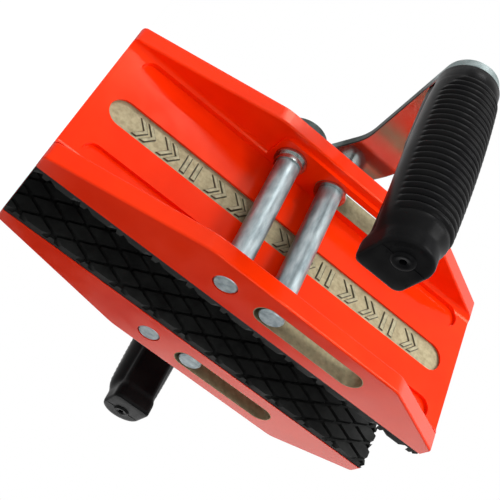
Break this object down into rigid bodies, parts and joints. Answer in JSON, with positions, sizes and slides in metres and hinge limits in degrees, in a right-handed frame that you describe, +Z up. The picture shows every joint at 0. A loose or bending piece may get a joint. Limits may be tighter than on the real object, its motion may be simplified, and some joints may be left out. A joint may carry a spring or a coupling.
{
  "type": "plate lifting clamp",
  "caption": "Two-handed carry clamp: crossed arms close two rubber-faced jaws on a stone slab when the handles are lifted.",
  "frame": {"origin": "on the surface that the clamp stands on, under the middle of its bounding box, fully open", "axes": "+Z up along the jaws towards their slotted ends, +X from jaw B to jaw A, the crossed arms on the -Y side"},
  "size_m": [0.271, 0.119, 0.22],
  "materials": {
    "orange_casting": "glossy orange powder coat on a cast jaw, bare metal left in the pin slot and the long panel",
    "rubber_pad": "matt black rubber with a diamond tread",
    "grip_rubber": "satin black moulded grip with fine rings",
    "arm_steel": "bright zinc plated flat steel",
    "pin_steel": "zinc plated round steel, faint turning marks",
    "zinc_hardware": "bright zinc plated washers, spacers and nuts",
    "spring_steel": "dark phosphated spring steel"
  },
  "bodies": {
    "jaw_b": {"jaw_b_casting": "orange_casting", "jaw_b_pad": "rubber_pad"},
    "arm_1": {"arm_1": "arm_steel", "fixed_pin_b": "pin_steel", "sliding_pin_a": "pin_steel", "fixed_pin_b_collar": "zinc_hardware", "sliding_pin_a_guide": "zinc_hardware", "sliding_pin_a_spacer": "zinc_hardware", "fixed_pin_b_spacer": "zinc_hardware", "fixed_pin_b_ring": "spring_steel", "sliding_pin_a_ring": "spring_steel", "handle_bar_a": "pin_steel", "grip_a": "grip_rubber", "bar_screw_a": "zinc_hardware"},
    "arm_2": {"arm_2": "arm_steel", "fixed_pin_a": "pin_steel", "sliding_pin_b": "pin_steel", "fixed_pin_a_collar": "zinc_hardware", "sliding_pin_b_guide": "zinc_hardware", "fixed_pin_a_washer": "zinc_hardware", "sliding_pin_b_washer": "zinc_hardware", "fixed_pin_a_ring": "spring_steel", "sliding_pin_b_ring": "spring_steel", "pivot_screw": "zinc_hardware", "pivot_middle_washer": "zinc_hardware", "pivot_washer": "zinc_hardware", "pivot_nut": "zinc_hardware", "handle_bar_b": "pin_steel", "grip_b": "grip_rubber", "bar_screw_b": "zinc_hardware"},
    "jaw_a": {"jaw_a_casting": "orange_casting", "jaw_a_pad": "rubber_pad"}
  },
  "joints": [
    {"name": "arm_lift", "type": "hinge", "parent": "jaw_b", "child": "arm_1", "pos_m": [-0.0375, 0.00645, 0.091], "axis": [0, -1, 0], "range_deg": [0, 41.68]},
    {"name": "arm_cross", "type": "hinge", "parent": "arm_1", "child": "arm_2", "pos_m": [0, 0.00645, 0.10364], "axis": [0, -1, 0], "range_deg": [-83.36, 0]},
    {"name": "jaw_level", "type": "hinge", "parent": "arm_2", "child": "jaw_a", "pos_m": [0.0375, 0.00645, 0.091], "axis": [0, -1, 0], "range_deg": [0, 41.68]}
  ],
  "couplings": [
    {"joint": "arm_cross", "follows": "arm_lift", "ratio": -2},
    {"joint": "jaw_level", "follows": "arm_lift", "ratio": 1}
  ]
}
